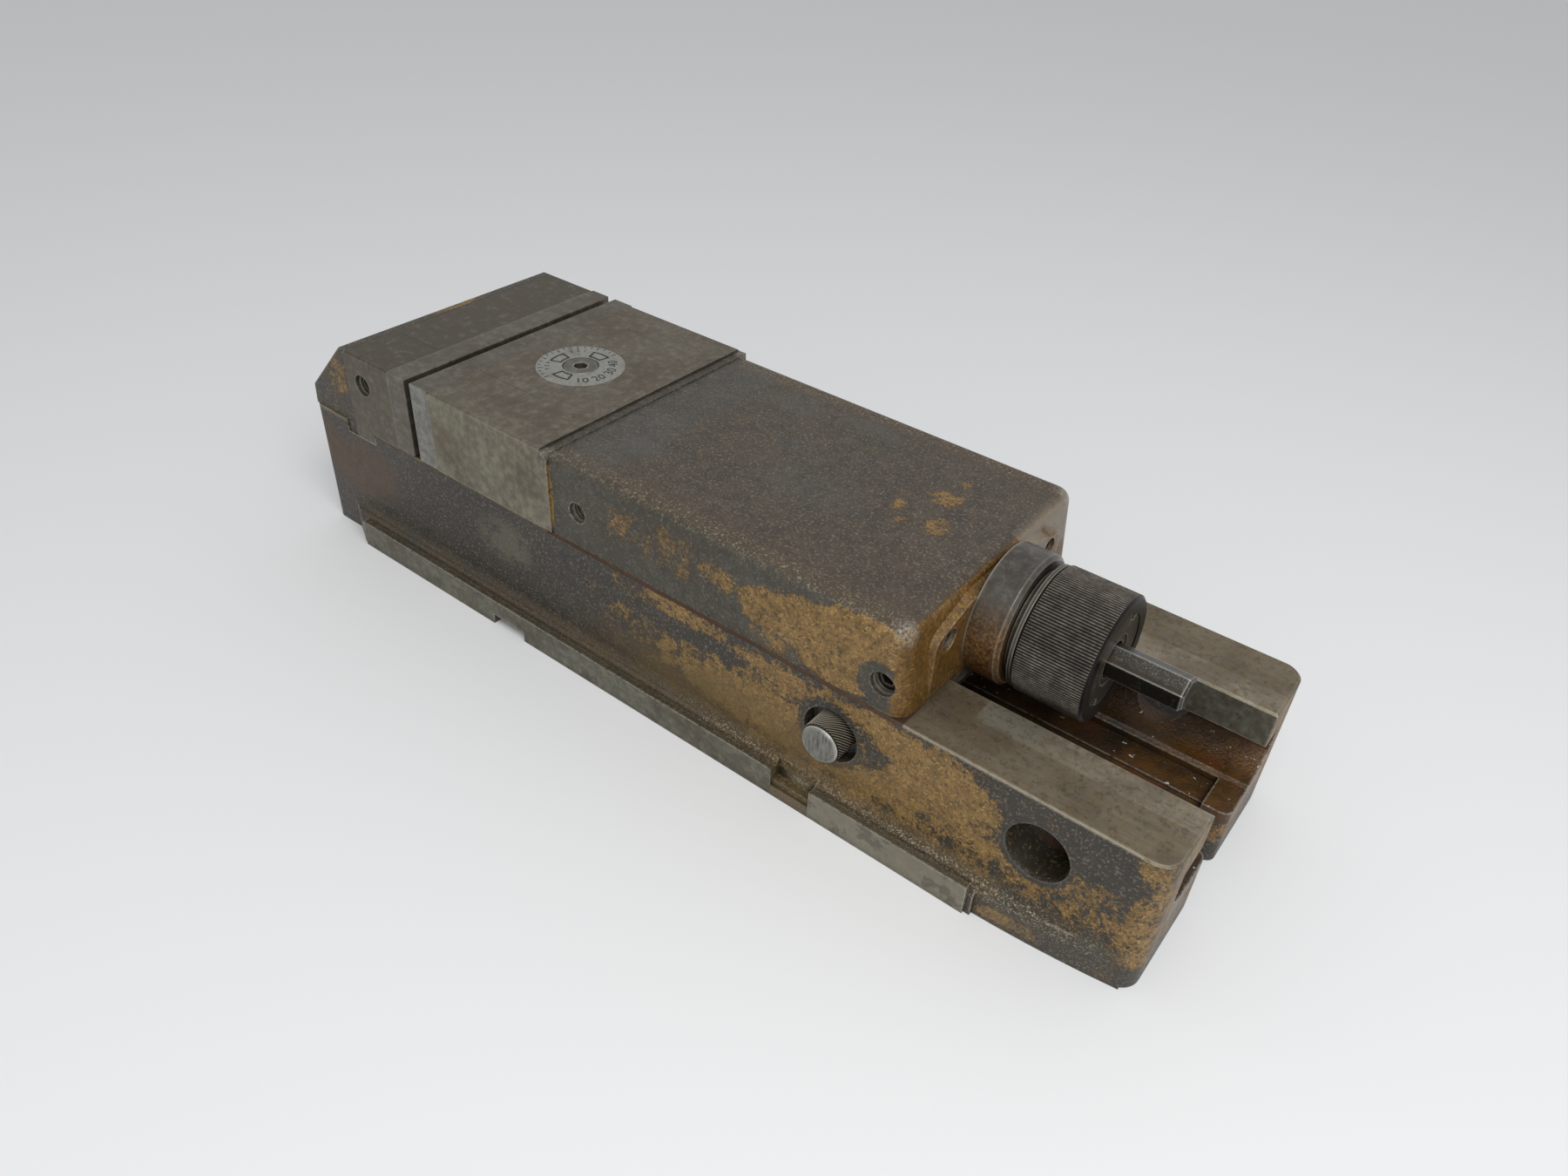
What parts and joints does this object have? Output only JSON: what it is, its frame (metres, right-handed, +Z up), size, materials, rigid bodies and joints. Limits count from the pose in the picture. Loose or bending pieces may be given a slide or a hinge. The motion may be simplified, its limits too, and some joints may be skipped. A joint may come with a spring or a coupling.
{
  "type": "high-pressure machine vise",
  "caption": "Machine vise with a flanged cast bed, a housed movable jaw that slides on its rails, a locking pin, a knurled sleeve and a hexagon drive shaft.",
  "frame": {"origin": "centre of the bed's underside", "axes": "+X along the bed towards the crank end, +Z up, -Y the side with the locking pin's grip"},
  "size_m": [0.437, 0.14, 0.1045],
  "materials": {
    "cast_bed": "dark cast iron with worn ochre paint, rails ground bright",
    "cast_jaw": "cast housing with worn ochre paint, head ground",
    "ground_steel": "hardened and ground, stained",
    "collar_steel": "turned, oil stained",
    "knurled_black": "blackened, straight knurl",
    "hex_steel": "bright drawn, worn",
    "pin_steel": "turned, diamond knurl",
    "dial_print": "printed aluminium disc",
    "screw_steel": "blackened screws",
    "inner_steel": "machined and oiled",
    "bronze": "bearing bronze"
  },
  "bodies": {
    "bed": {"bed": "cast_bed", "fixed_jaw": "cast_jaw", "fixed_jaw_bolts": "screw_steel", "fixed_jaw_plate": "ground_steel", "fixed_plate_screws": "screw_steel", "nut_block": "inner_steel", "nut_bush": "bronze"},
    "pin": {"locking_pin": "pin_steel"},
    "carriage": {"movable_jaw": "cast_jaw", "movable_jaw_plate": "ground_steel", "movable_plate_screws": "screw_steel", "dial_plate": "dial_print", "keeper_left": "inner_steel", "keeper_right": "inner_steel", "keeper_screws": "screw_steel", "side_set_screws": "screw_steel", "bearing_collar": "collar_steel", "bearing_bush": "bronze", "thrust_washers": "inner_steel", "thrust_rollers": "inner_steel", "pressure_plate": "inner_steel", "booster_rollers": "inner_steel", "booster_cup": "inner_steel", "disc_springs": "inner_steel", "booster_retainer": "inner_steel", "front_thrust_washer": "inner_steel"},
    "dial": {"dial_screw": "screw_steel"},
    "spindle": {"spindle_tube": "inner_steel", "spacer_ring": "collar_steel"},
    "sleeve": {"coupling_sleeve": "knurled_black", "sleeve_end_ring": "knurled_black"},
    "drive": {"drive_shaft": "hex_steel", "clutch_ring": "inner_steel", "clutch_spring": "inner_steel"},
    "thrust": {"thrust_rod": "inner_steel"}
  },
  "joints": [
    {"name": "jaw_slide", "type": "slide", "parent": "bed", "child": "carriage", "axis": [1, 0, 0], "range_m": [-0.0039, 0.085]},
    {"name": "pin_pull", "type": "slide", "parent": "bed", "child": "pin", "axis": [0, -1, 0], "range_m": [0, 0.12]},
    {"name": "dial_turn", "type": "hinge", "parent": "carriage", "child": "dial", "pos_m": [-0.09965, 0, 0.09], "axis": [0, 0, 1], "range_deg": [-90, 90]},
    {"name": "spindle_turn", "type": "hinge", "parent": "carriage", "child": "spindle", "pos_m": [0.05585, 0, 0.0784], "axis": [1, 0, 0], "range_deg": [-282, 6122]},
    {"name": "sleeve_turn", "type": "hinge", "parent": "spindle", "child": "sleeve", "pos_m": [0.14585, 0, 0.0784], "axis": [1, 0, 0], "range_deg": [0, 90]},
    {"name": "drive_turn", "type": "hinge", "parent": "spindle", "child": "drive", "pos_m": [0.15585, 0, 0.0784], "axis": [1, 0, 0], "range_deg": [0, 722]},
    {"name": "thrust_slide", "type": "slide", "parent": "spindle", "child": "thrust", "axis": [-1, 0, 0], "range_m": [0, 0.002]}
  ],
  "couplings": [
    {"joint": "spindle_turn", "follows": "jaw_slide", "rad_per_m": 1256.6},
    {"joint": "drive_turn", "follows": "thrust_slide", "rad_per_m": 6283.2}
  ]
}
